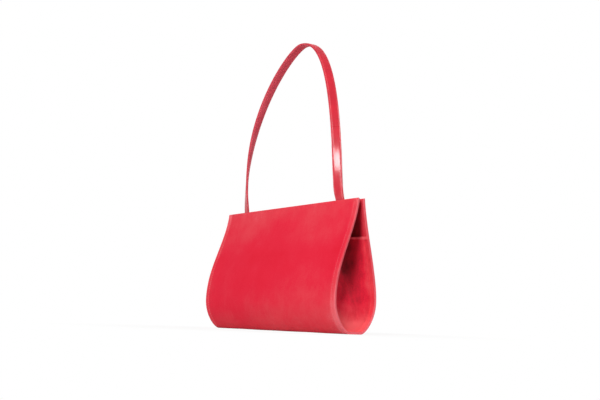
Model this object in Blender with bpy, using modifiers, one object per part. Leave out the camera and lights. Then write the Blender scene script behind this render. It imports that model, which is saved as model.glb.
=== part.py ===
"""Small structured suede handbag with one tall shoulder strap.

The body is a stiff sheet wrapped from the front, under the bag and up the back, so that its section is a
teardrop with a small flat to stand on. Both ends are open and closed further in by a recessed gusset. The
strap rises from inside the mouth, its width along the bag at the foot and across the bag at the crown.

Frame: X runs along the bag, the front faces -Y, Z is up, and the origin is under the middle of the base.
Lengths are in metres.
"""

import math

import bmesh
import bpy
import numpy as np
from mathutils import Matrix, Vector

# Whole body
bag_width = 0.270
bag_height = 0.155
belly_half_depth = 0.0312
belly_height = 0.038
base_half_flat = 0.009
mouth_half_width = 0.00505
mouth_lean = 0.005
lean_from_height = 0.056

# Handles of the two curves that draw half of the teardrop
base_curve_out = 0.006
belly_curve_down = 0.0225
belly_curve_up = 0.038
neck_curve_down = 0.039
neck_angle = math.radians(6.0)

# Layers of the wall, from outside in
suede_thickness = 0.0012
board_thickness = 0.0008
lining_thickness = 0.0006
facing_thickness = 0.0012
layer_gap = 0.0003

# Where the layers end
front_hinge_height = 0.022
facing_depth = 0.0405
end_seam_inset = 0.0075
lining_end_inset = 0.0090
facing_end_inset = 0.0005
sheet_step = base_half_flat / 2

# Gussets
gusset_thickness = 0.0012
gusset_below_mouth = 0.045
gusset_crease_depth = 0.0160
gusset_bowl_depth = 0.0085
gusset_flange_inset = 0.0005
gusset_corner_radius = 0.0018
gusset_spine_foot = 0.030
crease_fades_at_height = 0.045
binding_height = 0.0032
binding_thickness = 0.0020
binding_end_inset = 0.0042

# Inner pocket
pocket_end_inset = 0.075
pocket_below_facing = 0.0135
pocket_depth = 0.055
pocket_thickness = 0.0008

# Strap
strap_width = 0.0118
strap_leather_thickness = 0.0009
strap_core_thickness = 0.0006
strap_core_width = 0.0056
strap_crown = 0.0010
strap_rise = 0.2095
strap_lean = 0.005
strap_twist_length = 0.165
strap_twist_power = 2.2
strap_end_thickness = 0.0026
strap_end_inset = 0.037
strap_end_depth = 0.026
strap_end_clearance = 0.0006
strap_pivot_rise = 0.010
strap_pivot_gap = 0.0010
strap_hinge_clearance = 0.0003
strap_wedge_angle = math.radians(50.0)
strap_wedge_tip = 0.0003
strap_skive_length = 0.014
strap_straightens_in = 0.006
strap_station = 0.0075

# The strap's route above its pivots, in the plane of the mouth
left_pivot_inset = 0.0340
right_pivot_inset = 0.0405
left_flare = -0.023
left_flare_rise = 0.096
right_flare = -0.018
right_flare_rise = 0.070
left_crown_handle = 0.046
right_crown_handle = 0.069
crown_shift = 0.008

# Magnetic snap
snap_below_mouth = 0.0115
snap_radius = 0.0070
snap_socket_thickness = 0.0024
snap_recess_radius = 0.0030
snap_recess_depth = 0.0014
snap_stud_thickness = 0.0014
snap_boss_radius = 0.0025
snap_boss_height = 0.0011
snap_rim = 0.0004
washer_radius = 0.0055
washer_thickness = 0.0005
cutter_overrun = 0.0020

weld_distance = 0.000002
screw_merge = 0.00002
curve_samples = 160
round_steps = 28

# Heights and places that follow from the sizes above
facing_low_height = bag_height - facing_depth
gusset_top_height = bag_height - gusset_below_mouth
pocket_top_height = facing_low_height - pocket_below_facing
snap_height = bag_height - snap_below_mouth
strap_end_low_height = bag_height - strap_end_depth
left_pivot_x = -bag_width / 2 + left_pivot_inset
right_pivot_x = bag_width / 2 - right_pivot_inset
strap_end_x = bag_width / 2 - strap_end_inset


def colour_of(hex_text):
    """Linear colour of an sRGB value such as E23F4B."""
    parts = [int(hex_text[i:i + 2], 16) / 255 for i in (0, 2, 4)]
    return [c / 12.92 if c <= 0.04045 else ((c + 0.055) / 1.055) ** 2.4 for c in parts] + [1.0]


# Colour, roughness and metallic value of each finish
FINISHES = {
    "suede": ("E0414B", 0.95, 0.0),
    "gusset_suede": ("D6313F", 0.95, 0.0),
    "strap_leather": ("DC2237", 0.28, 0.0),
    "strap_backing": ("BE4452", 0.80, 0.0),
    "lining": ("8E1F2B", 0.85, 0.0),
    "board": ("7A6A58", 0.90, 0.0),
    "snap_metal": ("C9B891", 0.30, 1.0),
}


def finish(name):
    """Material of one finish, made once."""
    if name in bpy.data.materials:
        return bpy.data.materials[name]
    text, roughness, metallic = FINISHES[name]
    material = bpy.data.materials.new(name)
    material.use_nodes = True
    shader = material.node_tree.nodes["Principled BSDF"]
    shader.inputs["Base Color"].default_value = colour_of(text)
    shader.inputs["Roughness"].default_value = roughness
    shader.inputs["Metallic"].default_value = metallic
    return material


def bezier(a, b, c, d, share):
    """Point of a cubic curve with ends a and d and handles b and c."""
    rest = 1 - share
    return a * rest ** 3 + b * 3 * rest ** 2 * share + c * 3 * rest * share ** 2 + d * share ** 3


def smooth_share(share):
    """Share from 0 to 1 that starts and ends gently."""
    share = min(max(share, 0.0), 1.0)
    return share * share * (3 - 2 * share)


def lean_at(height):
    """How far back the middle of the section lies at a height."""
    return mouth_lean * smooth_share((height - lean_from_height) / (bag_height - lean_from_height))


def half_outline():
    """Half widths, heights and running lengths of half the teardrop, from under the bag to the mouth."""
    belly = Vector((belly_half_depth, belly_height))
    top = Vector((mouth_half_width, bag_height))
    flat = Vector((base_half_flat, 0))
    neck = top + Vector((math.sin(neck_angle), -math.cos(neck_angle))) * neck_curve_down
    points = [Vector((0, 0))]
    for i in range(curve_samples + 1):
        share = i / curve_samples
        points.append(bezier(flat, flat + Vector((base_curve_out, 0)), belly - Vector((0, belly_curve_down)),
                             belly, share))
    for i in range(1, curve_samples + 1):
        share = i / curve_samples
        points.append(bezier(belly, belly + Vector((0, belly_curve_up)), neck, top, share))
    points = np.array(points)
    lengths = np.concatenate([[0], np.cumsum(np.linalg.norm(np.diff(points, axis=0), axis=1))])
    return points[:, 0], points[:, 1], lengths


OUTLINE_HALF, OUTLINE_HEIGHT, OUTLINE_LENGTH = half_outline()
mouth_arc = float(OUTLINE_LENGTH[-1])


def arc_at(height):
    """Length along the wall from under the bag to a height on one side."""
    return float(np.interp(height, OUTLINE_HEIGHT[1:], OUTLINE_LENGTH[1:]))


def wall(arc, depth):
    """Point of the wall at a length from under the bag, negative up the front, and a depth inwards."""
    side = -1 if arc < 0 else 1
    length = abs(arc)
    step = mouth_arc / curve_samples
    near = max(length - step, 0)
    far = min(length + step, mouth_arc)
    half, height = (float(np.interp(length, OUTLINE_LENGTH, column)) for column in (OUTLINE_HALF, OUTLINE_HEIGHT))
    run = [float(np.interp(far, OUTLINE_LENGTH, column) - np.interp(near, OUTLINE_LENGTH, column))
           for column in (OUTLINE_HALF, OUTLINE_HEIGHT)]
    size = math.hypot(*run)
    outward = Vector((run[1], -run[0])) / size
    height_in = height - outward.y * depth
    return Vector((0, side * (half - outward.x * depth) + lean_at(height_in), height_in))


def wall_normal(arc):
    """Direction out of the wall at a length from under the bag."""
    return (wall(arc, 0) - wall(arc, suede_thickness)).normalized()


def new_part(name, finish_name, mesh, modifiers=()):
    """Object in the bag's collection, with its finish, smooth shading and modifiers."""
    part = bpy.data.objects.new(name, mesh)
    BAG.objects.link(part)
    mesh.materials.append(finish(finish_name))
    for kind, settings in modifiers:
        modifier = part.modifiers.new(kind.title(), kind)
        for key, value in settings.items():
            setattr(modifier, key, value)
    return part


def grid_mesh(name, along, across, place, looks_to, merge=False):
    """Sheet of along by across faces, each corner put where place says, with its face turned to looks_to."""
    bm = bmesh.new()
    bmesh.ops.create_grid(bm, x_segments=along, y_segments=across, size=1)
    for vertex in bm.verts:
        u = round((vertex.co.x + 1) / 2 * along)
        v = round((vertex.co.y + 1) / 2 * across)
        vertex.co = place(u, v)
    if merge:
        bmesh.ops.remove_doubles(bm, verts=bm.verts, dist=weld_distance)
    bm.normal_update()
    turned = sum(face.normal.dot(looks_to(face.calc_center_median())) * face.calc_area() for face in bm.faces)
    if turned < 0:
        bmesh.ops.reverse_faces(bm, faces=bm.faces)
    mesh = bpy.data.meshes.new(name)
    bm.to_mesh(mesh)
    bm.free()
    mesh.shade_smooth()
    mesh.set_sharp_from_angle(angle=math.radians(40))
    return mesh


def thick(thickness, offset=-1.0):
    """Solidify settings that keep an even thickness."""
    return ("SOLIDIFY", {"thickness": thickness, "offset": offset, "use_even_offset": True})


def arcs_between(low_arc, high_arc):
    """Lengths at which every layer between these two ends is creased, so that the layers stay parallel."""
    first = math.ceil(low_arc / sheet_step + 0.5)
    last = math.floor(high_arc / sheet_step - 0.5)
    return [low_arc] + [i * sheet_step for i in range(first, last + 1)] + [high_arc]


def wall_sheet(name, finish_name, low_arc, high_arc, left, right, depth, thickness):
    """Straight-sided sheet bent along the wall between two lengths, its outer face at a depth."""
    arcs = arcs_between(low_arc, high_arc)

    def place(u, v):
        point = wall(arcs[u], depth)
        return Vector((right if v else left, point.y, point.z))

    def outward(centre):
        return Vector((0, centre.y - lean_at(centre.z), centre.z - belly_height))

    mesh = grid_mesh(name, len(arcs) - 1, 1, place, outward)
    return new_part(name, finish_name, mesh, [thick(thickness)])


def body_sheets():
    """The suede, the boards, the linings and the facings, each cut in two on the hinge line."""
    hinge_arc = -arc_at(front_hinge_height)
    half_gap = layer_gap / 2
    end = bag_width / 2
    inner_end = end - lining_end_inset
    board_depth = suede_thickness + layer_gap
    lining_depth = board_depth + board_thickness + layer_gap
    layers_top = arc_at(facing_low_height) - layer_gap
    low, high = hinge_arc - half_gap, hinge_arc + half_gap
    facing_low = arc_at(facing_low_height)
    facing_end = end - facing_end_inset
    fronts = [
        wall_sheet("front_panel", "suede", -mouth_arc, low, -end, end, 0, suede_thickness),
        wall_sheet("front_board", "board", -layers_top, low, -inner_end, inner_end, board_depth, board_thickness),
        wall_sheet("front_lining", "lining", -layers_top, low, -inner_end, inner_end, lining_depth,
                   lining_thickness),
        wall_sheet("front_facing", "suede", -mouth_arc + facing_end_inset, -facing_low, -facing_end, facing_end,
                   board_depth, facing_thickness),
    ]
    wall_sheet("back_and_base", "suede", high, mouth_arc, -end, end, 0, suede_thickness)
    wall_sheet("back_board", "board", high, layers_top, -inner_end, inner_end, board_depth, board_thickness)
    wall_sheet("back_lining", "lining", high, layers_top, -inner_end, inner_end, lining_depth, lining_thickness)
    wall_sheet("back_facing", "suede", facing_low, mouth_arc - facing_end_inset, -facing_end, facing_end,
               board_depth, facing_thickness)
    pocket_end = end - pocket_end_inset
    wall_sheet("inner_pocket", "lining", arc_at(pocket_top_height - pocket_depth), arc_at(pocket_top_height),
               -pocket_end, pocket_end, lining_depth + lining_thickness + layer_gap, pocket_thickness)
    return fronts


def web_point(side, height, share, proud=0.0):
    """Point of the right gusset's visible face, from the wall at share 0 to the crease at share 1."""
    flange_depth = suede_thickness + layer_gap + gusset_thickness
    at_wall = wall(side * arc_at(height) if height > 0 else 0.0, flange_depth)
    wall_low = flange_depth
    climb = (at_wall.z - wall_low) / (gusset_top_height - wall_low)
    spine_height = gusset_spine_foot + (gusset_top_height - gusset_spine_foot) * climb
    spine = Vector((0, lean_at(spine_height), spine_height))
    point = at_wall.lerp(spine, share)
    fold = smooth_share((spine_height - crease_fades_at_height) / (gusset_top_height - crease_fades_at_height))
    depth = gusset_bowl_depth + (gusset_crease_depth - gusset_bowl_depth) * fold
    bowl = math.sin(share * math.pi / 2)
    crease = share ** 0.85
    seam_x = bag_width / 2 - end_seam_inset
    point.x = seam_x - depth * (bowl * (1 - fold) + crease * fold) + proud
    return point


def gusset(end, name):
    """One end: a flange against the wall, a small corner and a web that folds in to a crease."""
    flange_depth = suede_thickness + layer_gap + gusset_thickness
    half_arcs = arcs_between(0, arc_at(gusset_top_height))
    half = len(half_arcs) - 1
    corner_shares = (0.0, 0.30, 0.65, 1.0)
    web_shares = (0.18, 0.34, 0.50, 0.66, 0.82, 1.0)
    seam_x = bag_width / 2 - end_seam_inset
    flange_x = bag_width / 2 - gusset_flange_inset
    rows = 1 + len(corner_shares) + len(web_shares)

    def place(u, v):
        side = -1 if u < half else 1
        arc = half_arcs[abs(u - half)]
        edge = wall(side * arc, flange_depth)
        height = float(np.interp(arc, OUTLINE_LENGTH, OUTLINE_HEIGHT))
        if v == 0:
            point = Vector((flange_x, edge.y, edge.z))
        elif v <= len(corner_shares):
            turn = corner_shares[v - 1] * math.pi / 2
            toward = web_point(side, height, web_shares[0]) - edge
            toward.x = 0
            toward.normalize()
            point = edge + toward * gusset_corner_radius * (1 - math.cos(turn))
            point.x = seam_x + gusset_corner_radius * (1 - math.sin(turn))
        else:
            point = web_point(side, height, web_shares[v - 1 - len(corner_shares)])
        point.x *= end
        return point

    def looks(centre):
        return Vector((end, 0, 0))

    mesh = grid_mesh(name, 2 * half, rows - 1, place, looks, merge=True)
    return new_part(name, "gusset_suede", mesh, [thick(gusset_thickness)])


def gusset_binding(end, name):
    """Rolled strip along the top edge of a gusset, folded with it."""
    shares = (0.0, 0.18, 0.34, 0.50, 0.66, 0.82, 1.0)
    half = len(shares) - 1
    start = binding_end_inset / (web_point(1, gusset_top_height, 0).y - web_point(1, gusset_top_height, 1).y)
    proud = (binding_thickness - gusset_thickness) / 2

    def place(u, v):
        side = -1 if u < half else 1
        share = shares[half - abs(u - half)]
        share = start + (1 - start) * share
        point = web_point(side, gusset_top_height, share, proud)
        point.z = gusset_top_height + layer_gap + binding_height * v
        point.y += lean_at(point.z) - lean_at(gusset_top_height)
        point.x *= end
        return point

    mesh = grid_mesh(name, 2 * half, 1, place, lambda centre: Vector((end, 0, 0)), merge=True)
    return new_part(name, "gusset_suede", mesh, [thick(binding_thickness)])


def strap_pivot():
    """Middle of the strap at its pivots, above the mouth."""
    mouth_back_face = mouth_lean + mouth_half_width - suede_thickness - layer_gap - facing_thickness
    return Vector((0, mouth_back_face - layer_gap - strap_end_thickness / 2 - strap_end_clearance,
                   bag_height + strap_pivot_rise))


def strap_route(share):
    """Middle of the strap from the left pivot at share 0, over the crown at 0.5, to the right pivot at 1."""
    pivot = strap_pivot()
    crown = Vector((crown_shift, bag_height + strap_rise))
    if share <= 0.5:
        foot = Vector((left_pivot_x, pivot.z))
        flare = Vector((left_flare, left_flare_rise))
        handle = Vector((-left_crown_handle, 0))
        run = share * 2
    else:
        foot = Vector((right_pivot_x, pivot.z))
        flare = Vector((right_flare, right_flare_rise))
        handle = Vector((right_crown_handle, 0))
        run = (1 - share) * 2
    flat = bezier(foot, foot + flare, crown + handle, crown, run)
    back = strap_lean * (flat.y - pivot.z) / (crown.y - pivot.z)
    return Vector((flat.x, pivot.y + back, flat.y))


def strap_stations():
    """Frames along the arch: middle, width direction, outward direction and distance from the nearer foot."""
    points = [strap_route(i / (2 * curve_samples)) for i in range(2 * curve_samples + 1)]
    lengths = [0.0]
    for a, b in zip(points, points[1:]):
        lengths.append(lengths[-1] + (b - a).length)
    total = lengths[-1]
    shares = [i / (2 * curve_samples) for i in range(2 * curve_samples + 1)]
    count = 2 * round(total / strap_station / 2)
    stations = []
    for i in range(count + 1):
        length = total * i / count
        share = float(np.interp(length, lengths, shares))
        nearby = 1 / (4 * curve_samples)
        tangent = strap_route(min(share + nearby, 1)) - strap_route(max(share - nearby, 0))
        foot_distance = min(length, total - length)
        untwisted = max(0.0, 1 - foot_distance / strap_twist_length) ** strap_twist_power
        turn = math.pi / 2 * (1 - untwisted)
        if length > total / 2:
            turn = math.pi - turn
        across = Vector((math.cos(turn), -math.sin(turn), 0))
        outward = across.cross(tangent).normalized()
        stations.append((strap_route(share), across, outward, foot_distance))
    return stations


def strap_layer(name, finish_name, width, columns, height_at, thickness, skip_ends=0.0):
    """Band along the arch, its outer face at a height above the strap's middle, less skip_ends at each foot."""
    stations = [s for s in strap_stations() if s[3] >= skip_ends]
    pivot_height = strap_pivot().z
    last = len(stations) - 1

    def place(u, v):
        middle, across, outward, foot_distance = stations[u]
        middle = middle.copy()
        if u in (0, last) and skip_ends == 0:
            middle.z = pivot_height - strap_pivot_gap
        side = 2 * v / columns - 1
        return middle + across * side * width / 2 + outward * height_at(side, foot_distance)

    outs = [(s[0], s[2]) for s in stations]

    def looks(centre):
        return min(outs, key=lambda o: (o[0] - centre).length)[1]

    mesh = grid_mesh(name, last, columns, place, looks)
    return new_part(name, finish_name, mesh, [thick(thickness)])


def strap_arch():
    """Outer leather crowned over a core, and a flat inner leather."""
    half_gap = layer_gap / 2

    def crown(side, foot_distance):
        swell = smooth_share(foot_distance / strap_skive_length - 1)
        return half_gap + strap_leather_thickness + strap_crown * swell * math.cos(side * math.pi / 2) ** 0.7

    def core(side, foot_distance):
        return half_gap + strap_core_thickness

    def inner(side, foot_distance):
        return -half_gap

    return [
        strap_layer("strap_outer", "strap_leather", strap_width, 6, crown, strap_leather_thickness),
        strap_layer("strap_core", "strap_backing", strap_core_width, 1, core, strap_core_thickness,
                    skip_ends=2 * strap_skive_length),
        strap_layer("strap_inner", "strap_backing", strap_width, 2, inner, strap_leather_thickness),
    ]


def strap_end(name, foot_x, pivot_x, flare, flare_rise):
    """Fixed end of the strap, sewn inside the back of the mouth and cut to a wedge under the pivot."""
    pivot = strap_pivot()
    half_leg = layer_gap / 2 + strap_leather_thickness
    wedge_tip = (half_leg + strap_hinge_clearance) / math.sin(strap_wedge_angle)
    wedge_run = strap_end_thickness / 2 / math.tan(strap_wedge_angle)
    facing_face = suede_thickness + layer_gap + facing_thickness
    depth = facing_face + layer_gap + strap_end_thickness / 2
    top = pivot.z - wedge_tip
    low_arc = arc_at(strap_end_low_height)
    wall_count = 6
    free_count = 4
    slope = flare / flare_rise
    stations = []
    for i in range(wall_count + 1):
        point = wall(low_arc + (mouth_arc - low_arc) * i / wall_count, depth)
        stations.append(Vector((foot_x, point.y, point.z)))
    start = stations[-1]
    rise = pivot.z - start.z
    top_middle = Vector((pivot_x, pivot.y, pivot.z))
    start_handle = start + (start - stations[-2]).normalized() * strap_straightens_in / 2
    top_handle = top_middle - Vector((slope, 0, 1)) * strap_straightens_in / 2
    free_share = (top - start.z) / rise
    for i in range(1, free_count + 1):
        share = free_share * i / free_count
        stations.append(bezier(start, start_handle, top_handle, top_middle, share))
    stations[-1].z = top
    shoulder = stations[-1].copy()
    shoulder.z = top - wedge_run
    stations.insert(len(stations) - 1, shoulder)
    stations = [s for i, s in enumerate(stations) if i == len(stations) - 1 or s.z <= shoulder.z]
    last = len(stations) - 1
    bm = bmesh.new()
    bmesh.ops.create_cube(bm, size=1)
    bmesh.ops.subdivide_edges(bm, edges=[e for e in bm.edges if abs(e.verts[0].co.z - e.verts[1].co.z) > 0.5],
                              cuts=last - 1, use_grid_fill=True)
    for vertex in bm.verts:
        index = round((vertex.co.z + 0.5) * last)
        middle = stations[index]
        before = stations[max(index - 1, 0)]
        after = stations[min(index + 1, last)]
        run = after - before
        outward = Vector((0, -run.z, run.y)).normalized()
        if index >= last - 1:
            outward = Vector((0, -1, 0))
        thickness = strap_wedge_tip if index == last else strap_end_thickness
        offset = outward * -vertex.co.y * thickness
        vertex.co = middle + Vector((vertex.co.x * strap_width, 0, 0)) + offset
    bmesh.ops.recalc_face_normals(bm, faces=bm.faces)
    mesh = bpy.data.meshes.new(name)
    bm.to_mesh(mesh)
    bm.free()
    return new_part(name, "strap_leather", mesh)


def turned(name, finish_name, profile, arc, depth, modifiers=()):
    """Turned piece standing on the wall's inner side at a length and depth, its axis square to the wall."""
    mesh = bpy.data.meshes.new(name)
    bm = bmesh.new()
    corners = [bm.verts.new((x, 0, z)) for x, z in profile]
    for a, b in zip(corners, corners[1:]):
        bm.edges.new((a, b))
    bm.to_mesh(mesh)
    bm.free()
    screw = ("SCREW", {"angle": math.tau, "steps": round_steps, "render_steps": round_steps,
                       "use_merge_vertices": True, "merge_threshold": screw_merge, "use_smooth_shade": True})
    part = new_part(name, finish_name, mesh, [screw, *modifiers])
    inward = -wall_normal(arc)
    part.matrix_world = Matrix.Translation(wall(arc, depth)) @ inward.to_track_quat("Z", "X").to_matrix().to_4x4()
    return part


def disc(radius, low, high):
    """Profile of a plain disc, from the middle of its top round to the middle of its foot."""
    return [(0, high), (radius, high), (radius, low), (0, low)]


def snap(fronts):
    """Both halves of the magnetic snap, their washers and the shallow seats cut for these in the facings."""
    arc = arc_at(snap_height)
    face = suede_thickness + layer_gap + facing_thickness
    socket = [(0, snap_socket_thickness - snap_recess_depth),
              (snap_recess_radius, snap_socket_thickness - snap_recess_depth),
              (snap_recess_radius, snap_socket_thickness),
              (snap_radius - snap_rim, snap_socket_thickness),
              (snap_radius, snap_socket_thickness - snap_rim),
              (snap_radius, 0), (0, 0)]
    boss_top = snap_stud_thickness + snap_boss_height
    stud = [(0, boss_top), (snap_boss_radius - snap_rim, boss_top), (snap_boss_radius, boss_top - snap_rim),
            (snap_boss_radius, snap_stud_thickness), (snap_radius - snap_rim, snap_stud_thickness),
            (snap_radius, snap_stud_thickness - snap_rim), (snap_radius, 0), (0, 0)]
    seat_depth = washer_thickness + layer_gap
    for side, half, profile, washer in ((1, "snap_socket", socket, "back_snap_washer"),
                                        (-1, "snap_stud", stud, "front_snap_washer")):
        body = turned(half, "snap_metal", profile, side * arc, face + layer_gap)
        plate = turned(washer, "snap_metal", disc(washer_radius, 0, washer_thickness), side * arc,
                       suede_thickness + layer_gap)
        cutter = turned(washer + "_seat", "snap_metal", disc(washer_radius + layer_gap, -cutter_overrun, seat_depth),
                        side * arc, suede_thickness + layer_gap)
        BAG.objects.unlink(cutter)
        CUTTERS.objects.link(cutter)
        cutter.hide_render = True
        cutter.display_type = "WIRE"
        facing = bpy.data.objects["back_facing" if side > 0 else "front_facing"]
        cut = facing.modifiers.new("WasherSeat", "BOOLEAN")
        cut.operation = "DIFFERENCE"
        cut.object = cutter
        if side < 0:
            fronts += [body, plate, cutter]


def hang_from(empty_name, place, parts):
    """Empty on a joint's axis, with the parts that turn about it."""
    pivot = bpy.data.objects.new(empty_name, None)
    pivot.location = place
    BAG.objects.link(pivot)
    for part in parts:
        part.parent = pivot
        part.matrix_parent_inverse = Matrix.Translation(-Vector(place))


for old in list(bpy.data.objects):
    bpy.data.objects.remove(old, do_unlink=True)
BAG = bpy.data.collections.new("suede_handbag")
CUTTERS = bpy.data.collections.new("cutters")
for collection in (BAG, CUTTERS):
    bpy.context.scene.collection.children.link(collection)

front_parts = body_sheets()
for end_sign, end_name in ((-1, "left"), (1, "right")):
    gusset(end_sign, end_name + "_gusset")
    gusset_binding(end_sign, end_name + "_gusset_binding")
strap_parts = strap_arch()
strap_end("left_strap_end", -strap_end_x, left_pivot_x, left_flare, left_flare_rise)
strap_end("right_strap_end", strap_end_x, right_pivot_x, right_flare, right_flare_rise)
snap(front_parts)
hang_from("mouth_hinge", wall(-arc_at(front_hinge_height), 0), front_parts)
hang_from("strap_pivot", strap_pivot(), strap_parts)
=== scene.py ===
"""Small red suede handbag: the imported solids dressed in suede, leather, thread, cloth and metal.

X runs along the bag, the front faces -Y, Z is up. Lengths are in metres.
"""

import math

import bmesh
import bpy
import numpy as np
from mathutils import Matrix, Vector, noise


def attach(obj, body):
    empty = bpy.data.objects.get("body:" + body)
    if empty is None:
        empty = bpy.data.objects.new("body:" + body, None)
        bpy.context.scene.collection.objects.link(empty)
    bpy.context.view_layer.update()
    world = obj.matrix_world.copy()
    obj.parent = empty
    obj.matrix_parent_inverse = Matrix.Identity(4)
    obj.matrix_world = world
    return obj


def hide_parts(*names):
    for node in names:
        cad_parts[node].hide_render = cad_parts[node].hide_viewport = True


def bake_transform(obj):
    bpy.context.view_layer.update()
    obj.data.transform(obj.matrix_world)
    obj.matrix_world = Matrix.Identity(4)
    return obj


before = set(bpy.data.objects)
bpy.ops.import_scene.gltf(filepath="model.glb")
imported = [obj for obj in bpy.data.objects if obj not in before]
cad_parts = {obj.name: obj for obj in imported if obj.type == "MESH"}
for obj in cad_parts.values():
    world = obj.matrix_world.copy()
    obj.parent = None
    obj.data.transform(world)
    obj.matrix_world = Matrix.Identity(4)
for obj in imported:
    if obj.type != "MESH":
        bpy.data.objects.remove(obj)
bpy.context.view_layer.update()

# Sizes that the solids have too
bag_width = 0.270
bag_height = 0.155
belly_half_depth = 0.0312
belly_height = 0.038
base_half_flat = 0.009
mouth_half_width = 0.00505
mouth_lean = 0.005
lean_from_height = 0.056
base_curve_out = 0.006
belly_curve_down = 0.0225
belly_curve_up = 0.038
neck_curve_down = 0.039
neck_angle = math.radians(6.0)
suede_thickness = 0.0012
board_thickness = 0.0008
lining_thickness = 0.0006
layer_gap = 0.0003
facing_low_height = 0.1098
end_seam_inset = 0.0075
lining_end_inset = 0.0090
facing_end_inset = 0.0005
gusset_thickness = 0.0012
gusset_top_height = 0.110
gusset_flange_inset = 0.0005
gusset_corner_radius = 0.0018
gusset_spine_foot = 0.030
binding_height = 0.0032
pocket_half_width = 0.060
pocket_low_height = 0.046
pocket_high_height = 0.101
pocket_thickness = 0.0008
strap_width = 0.0118
strap_leather_thickness = 0.0009
strap_skive_length = 0.014
strap_end_x = {-1: 0.0997, 1: 0.0963}
strap_end_low_height = 0.129
snap_height = 0.1435
curve_samples = 160

# Steps between rows of points
fine_step = 0.0016
wide_step = 0.0045
cloth_step = 0.003
pocket_row_step = 0.0015
strap_step = 0.0020
end_fine_reach = 0.012
end_fine_step = 0.0008
weld_distance = 0.00001
strap_weld_distance = 0.000005

# Stitches, seams and cut edges
stitch_pitch = 0.0031
stitch_length = 0.0023
stitch_radius = 0.00023
stitch_flatness = 1.15
stitch_tilt = 0.16
stitch_sunk = 0.00012
seam_inset = 0.0066
seam_from_mouth = 0.0045
seam_dip = 0.00022
seam_dip_reach = 0.0011
seam_hole_share = 0.45
seam_direction_step = 0.0005
edge_round = 0.00042

# Outer suede and facings
panel_wave = 0.00030
panel_wave_size = 0.045
panel_wave_seed = 3.1
panel_even_end = 0.03
panel_even_mouth = 0.02
base_high = 0.004
base_sag = 0.0002
facing_thickness = 0.0017
facing_seam_rise = 0.0028
facing_seam_end = 0.012
facing_dip_share = 0.3
facing_stitch_sunk = 0.00005

# Gussets and their bindings; each soft crease of the web has a height, a size and a seed
gusset_crease_depth = 0.0230
gusset_bowl_depth = 0.0032
crease_low_height = 0.031
crease_full_height = 0.092
bowl_power = 2.4
crease_power = 0.85
flange_dip_share = 0.4
web_from = 0.15
web_soft_reach = 0.3
web_creases = [(0.0018, 0.015, 5.3), (0.0009, 0.007, 8.9)]
binding_thickness = 0.0024
binding_overlap = 0.0009
binding_round = 0.0009
binding_seam_share = 0.45
binding_seam_end = 0.007
binding_direction_step = 0.0004
binding_stitch_proud = 0.00002

# Lining and pocket
slack_reach = 0.02
lining_tuck = 0.0012
lining_slack = 0.0009
lining_wave_size = 0.028
lining_wave_seed = 2.2
pocket_slack = 0.0004
pocket_hem_height = 0.006
pocket_hem_thickness = 0.0003
pocket_round = 0.00025

# Strap: its line is given by places along the bag and heights, its turns by shares of the arch and degrees
strap_foot_height = 0.160
strap_foot_y = 0.0050
strap_back_lean = 0.0047
strap_crown_point = Vector((0.0088, 0.3662))
left_foot_x = -0.0994
left_flare = Vector((-0.0250, 0.1244))
left_crown_handle = 0.0284
right_foot_x = 0.0958
right_flare = Vector((-0.0100, -0.0029))
right_crown_handle = 0.0796
strap_turns = [(0.0, 12), (0.06, 28), (0.14, 52), (0.25, 76), (0.38, 92), (0.5, 98), (0.62, 105), (0.75, 117),
               (0.86, 132), (0.94, 147), (0.98, 154), (1.0, 167)]
tail_depth_gap = 0.0014
tail_top_gap = 0.001
tail_step = 0.002
foot_smooth_reach = 0.055
foot_smooth_rounds = 12
foot_smooth_weight = 0.25
strap_crown = 0.0004
strap_inner_crown = 0.0009
skived_crown_share = 0.30
dome_power = 18
corner_from = 0.92
corner_run = 0.08
outer_corner = 0.00035
inner_corner = 0.00030
outer_groove = 0.00022
inner_groove = 0.00014
groove_reach = 0.05
back_narrowing = 0.985
back_overlap = 0.0001
stitch_side = 0.76
strap_seam_end = 0.030
strap_stitch_pitch = 0.0027
strap_stitch_proud = 0.00006

# Snap
snap_seat_gap = 0.0001
snap_round = 0.0001
snap_steps = 56

# Fold measures of the soft pieces, from the back to the hinged front; nothing reads them to bend the pieces
panel_bend = (0.0325, 0.0400)
gusset_bend = (0.0150, 0.0387)
lining_bend = (0.0300, 0.0370)

half_width = bag_width / 2
flange_depth = suede_thickness + layer_gap + gusset_thickness
ENDS = ((-1, "left"), (1, "right"))


# The bag's section
def bezier(a, b, c, d, share):
    """Point of a cubic curve with ends a and d and handles b and c."""
    rest = 1 - share
    return a * rest ** 3 + b * 3 * rest ** 2 * share + c * 3 * rest * share ** 2 + d * share ** 3


def smooth_share(share):
    """Share from 0 to 1 that starts and ends gently."""
    share = min(max(share, 0.0), 1.0)
    return share * share * (3 - 2 * share)


def lean_at(height):
    """How far back the middle of the section lies at a height."""
    return mouth_lean * smooth_share((height - lean_from_height) / (bag_height - lean_from_height))


def half_outline():
    """Half widths, heights and running lengths of half the teardrop, from under the bag to the mouth."""
    belly = Vector((belly_half_depth, belly_height))
    top = Vector((mouth_half_width, bag_height))
    flat = Vector((base_half_flat, 0))
    neck = top + Vector((math.sin(neck_angle), -math.cos(neck_angle))) * neck_curve_down
    points = [Vector((0, 0))]
    for i in range(curve_samples + 1):
        points.append(bezier(flat, flat + Vector((base_curve_out, 0)), belly - Vector((0, belly_curve_down)),
                             belly, i / curve_samples))
    for i in range(1, curve_samples + 1):
        points.append(bezier(belly, belly + Vector((0, belly_curve_up)), neck, top, i / curve_samples))
    points = np.array(points)
    lengths = np.concatenate([[0], np.cumsum(np.linalg.norm(np.diff(points, axis=0), axis=1))])
    return points[:, 0], points[:, 1], lengths


OUTLINE_HALF, OUTLINE_HEIGHT, OUTLINE_LENGTH = half_outline()
mouth_arc = float(OUTLINE_LENGTH[-1])


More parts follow.
